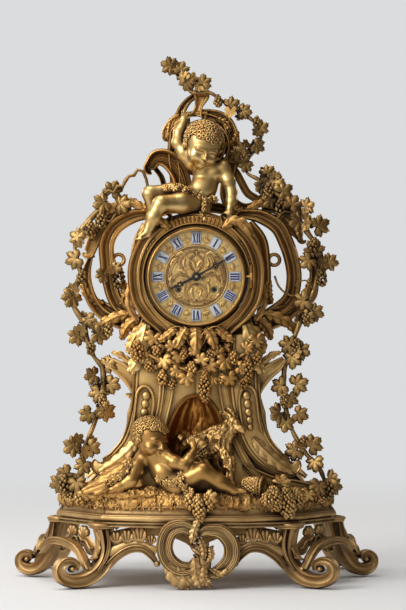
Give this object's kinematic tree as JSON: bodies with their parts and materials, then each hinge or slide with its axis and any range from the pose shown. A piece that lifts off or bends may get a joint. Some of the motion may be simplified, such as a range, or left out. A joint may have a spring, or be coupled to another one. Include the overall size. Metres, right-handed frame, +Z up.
{
  "type": "mantel clock",
  "caption": "Gilt ornamental mantel clock with a round glazed dial in a scrolled case, two child figures, vines, and a six-footed base.",
  "frame": {"origin": "on the table under the middle of the clock's bounding box", "axes": "+Z up, -Y towards the viewer of the dial, +X to the viewer's right"},
  "size_m": [0.4748, 0.2748, 0.667],
  "materials": {
    "feet_gilt": "matte gilding, sandy",
    "matte_gilt": "matte mercury gilding, darker in its recesses",
    "burnished_gilt": "burnished gilding",
    "vine_gilt": "dull gilding with a brown green patina",
    "brass": "polished brass",
    "steel": "bright steel",
    "blued_steel": "blackened steel",
    "enamel": "glossy white enamel on copper",
    "numeral_blue": "fired blue enamel paint",
    "glass": "clear",
    "bell_metal": "turned bell metal"
  },
  "bodies": {
    "root": {"front_feet": "feet_gilt", "side_feet": "feet_gilt", "back_feet": "feet_gilt", "front_apron": "feet_gilt", "cartouche": "feet_gilt", "side_aprons": "feet_gilt", "plinth": "matte_gilt", "ground": "matte_gilt", "case_body": "matte_gilt", "case_back": "matte_gilt", "niche": "matte_gilt", "pilaster_left": "matte_gilt", "pilaster_right": "matte_gilt", "waist_swag": "burnished_gilt", "case_screws": "steel", "drum_case": "brass", "dial_surround": "matte_gilt", "scroll_left": "matte_gilt", "scroll_right": "matte_gilt", "crest": "matte_gilt", "putto_upper": "burnished_gilt", "putto_lower": "burnished_gilt", "goat": "burnished_gilt", "basket": "matte_gilt", "ground_fruit": "vine_gilt", "vine_left": "vine_gilt", "vine_right": "vine_gilt", "vine_top": "vine_gilt", "dial_plate": "matte_gilt", "dial_centre": "burnished_gilt", "numeral_plaques": "enamel", "numerals": "numeral_blue", "bezel_pin": "steel", "back_door_pin": "steel", "front_plate": "brass", "back_plate": "brass", "pillars": "brass", "back_cock": "brass", "bell": "bell_metal"},
    "bezel_door": {"bezel": "matte_gilt", "glass": "glass"},
    "rear_door": {"back_door": "brass"},
    "minute_train": {"centre_wheel": "brass", "cannon_pinion": "steel", "minute_hand": "blued_steel"},
    "hour_train": {"hour_wheel": "brass", "hour_hand": "blued_steel"},
    "motion_wheel": {"minute_wheel": "brass"},
    "third_arbor": {"third_wheel": "brass"},
    "escape_arbor": {"escape_wheel": "brass"},
    "going_drum": {"going_barrel": "brass"},
    "going_winder": {"going_arbor": "steel"},
    "strike_drum": {"strike_barrel": "brass"},
    "strike_winder": {"strike_arbor": "steel"},
    "pin_arbor": {"pin_wheel": "brass"},
    "fly_arbor": {"fly": "brass"},
    "pendulum_body": {"pendulum": "brass"},
    "anchor_body": {"anchor": "steel"},
    "hammer_body": {"hammer": "steel"}
  },
  "joints": [
    {"name": "bezel_hinge", "type": "hinge", "parent": "root", "child": "bezel_door", "pos_m": [0.07, -0.08, 0.391], "axis": [0, 0, 1], "range_deg": [0, 110]},
    {"name": "back_door_hinge", "type": "hinge", "parent": "root", "child": "rear_door", "pos_m": [-0.064, 0.057, 0.391], "axis": [0, 0, 1], "range_deg": [0, 120]},
    {"name": "minute_turn", "type": "hinge", "parent": "root", "child": "minute_train", "pos_m": [0, -0.04, 0.391], "axis": [0, 1, 0], "continuous": true},
    {"name": "hour_turn", "type": "hinge", "parent": "root", "child": "hour_train", "pos_m": [0, -0.04, 0.391], "axis": [0, 1, 0], "continuous": true},
    {"name": "motion_wheel_turn", "type": "hinge", "parent": "root", "child": "motion_wheel", "pos_m": [-0.01455, -0.04, 0.3994], "axis": [0, 1, 0], "continuous": true},
    {"name": "third_turn", "type": "hinge", "parent": "root", "child": "third_arbor", "pos_m": [0.01427, -0.04, 0.402], "axis": [0, 1, 0], "continuous": true},
    {"name": "escape_turn", "type": "hinge", "parent": "root", "child": "escape_arbor", "pos_m": [0, -0.04, 0.4085], "axis": [0, 1, 0], "continuous": true},
    {"name": "going_drum_turn", "type": "hinge", "parent": "root", "child": "going_drum", "pos_m": [0.0227, -0.04, 0.3746], "axis": [0, 1, 0], "continuous": true},
    {"name": "going_winding", "type": "hinge", "parent": "root", "child": "going_winder", "pos_m": [0.0227, -0.04, 0.3746], "axis": [0, 1, 0], "continuous": true},
    {"name": "strike_drum_turn", "type": "hinge", "parent": "root", "child": "strike_drum", "pos_m": [-0.0227, -0.04, 0.3746], "axis": [0, 1, 0], "continuous": true},
    {"name": "strike_winding", "type": "hinge", "parent": "root", "child": "strike_winder", "pos_m": [-0.0227, -0.04, 0.3746], "axis": [0, 1, 0], "continuous": true},
    {"name": "pin_wheel_turn", "type": "hinge", "parent": "root", "child": "pin_arbor", "pos_m": [-0.01784, -0.04, 0.40217], "axis": [0, 1, 0], "continuous": true},
    {"name": "fly_turn", "type": "hinge", "parent": "root", "child": "fly_arbor", "pos_m": [-0.02966, -0.04, 0.40426], "axis": [0, 1, 0], "continuous": true},
    {"name": "pendulum_swing", "type": "hinge", "parent": "root", "child": "pendulum_body", "pos_m": [0, -0.011, 0.421], "axis": [0, 1, 0], "range_deg": [-4, 4]},
    {"name": "anchor_rock", "type": "hinge", "parent": "root", "child": "anchor_body", "pos_m": [0, -0.011, 0.421], "axis": [0, 1, 0], "range_deg": [-4, 4]},
    {"name": "hammer_lift", "type": "hinge", "parent": "root", "child": "hammer_body", "pos_m": [-0.042, -0.012, 0.397], "axis": [0, -1, 0], "range_deg": [0, 14]}
  ],
  "couplings": [
    {"joint": "hour_turn", "follows": "minute_turn", "ratio": 0.083333},
    {"joint": "motion_wheel_turn", "follows": "minute_turn", "ratio": -0.33333},
    {"joint": "third_turn", "follows": "minute_turn", "ratio": -9.6},
    {"joint": "escape_turn", "follows": "minute_turn", "ratio": 108},
    {"joint": "going_drum_turn", "follows": "minute_turn", "ratio": -0.14286},
    {"joint": "pin_wheel_turn", "follows": "strike_drum_turn", "ratio": -7},
    {"joint": "fly_turn", "follows": "strike_drum_turn", "ratio": 63},
    {"joint": "anchor_rock", "follows": "pendulum_swing", "ratio": 1}
  ]
}
